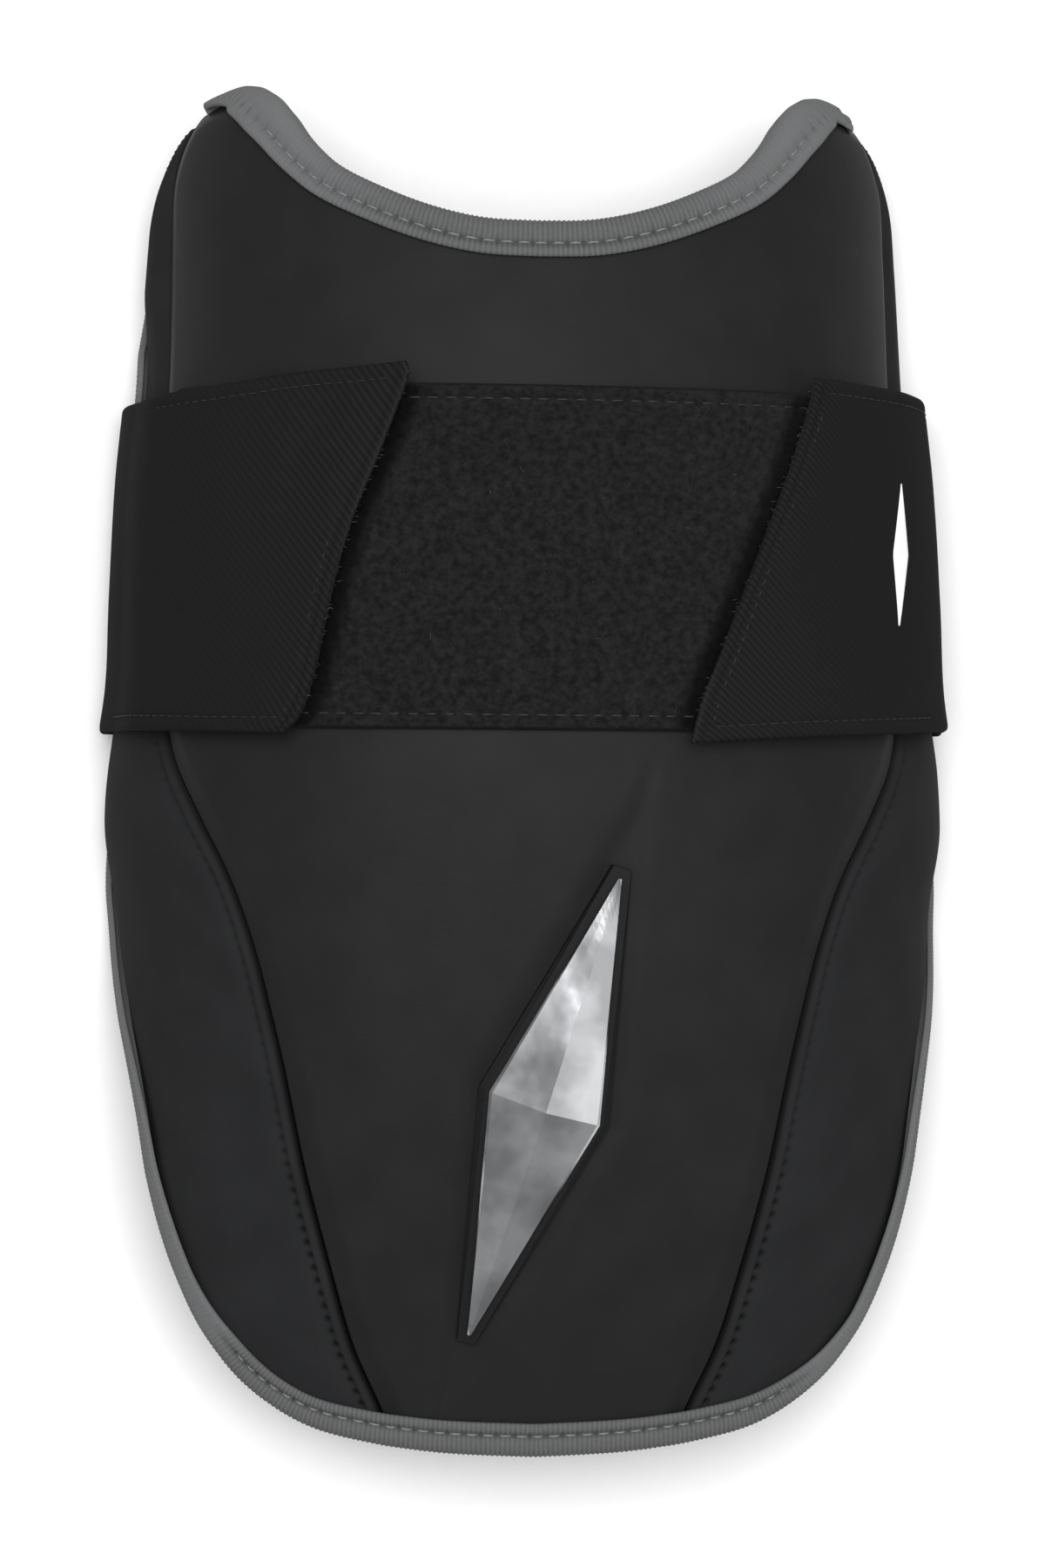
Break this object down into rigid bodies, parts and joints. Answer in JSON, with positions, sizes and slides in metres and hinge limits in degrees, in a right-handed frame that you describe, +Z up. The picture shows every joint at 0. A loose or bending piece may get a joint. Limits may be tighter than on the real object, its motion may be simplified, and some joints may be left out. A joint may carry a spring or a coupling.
{
  "type": "baseball elbow guard",
  "caption": "Padded elbow guard for a batter: an arched foam shell with side wings, taped rim, fuzzy loop patch, faceted badge and a wide elastic strap round the back.",
  "frame": {"origin": "on the floor under the middle of the guard, which lies on its back with the hollow for the arm underneath", "axes": "+Y up the arm towards the scooped end with the two horns, +Z up through the crest of the shell, X across the arm"},
  "size_m": [0.1538, 0.2422, 0.066],
  "materials": {
    "panel_fabric": "smooth matte black stretch fabric over foam",
    "wing_fabric": "smooth matte black stretch fabric over foam",
    "binding_tape": "dark grey ribbed elastic tape",
    "loop_pile": "black fuzzy loop pile",
    "hook_tape": "black moulded hook tape",
    "strap_elastic": "black twill woven elastic",
    "badge_rubber": "matte black moulded surround",
    "badge_chrome": "satin chrome plated facets"
  },
  "bodies": {
    "root": {"centre_panel": "panel_fabric", "left_wing": "wing_fabric", "right_wing": "wing_fabric", "scoop_binding": "binding_tape", "rim_binding": "binding_tape", "loop_patch": "loop_pile", "left_hook_tape": "hook_tape", "right_hook_tape": "hook_tape", "strap": "strap_elastic", "badge_backing": "badge_rubber", "badge": "badge_chrome"}
  },
  "joints": []
}
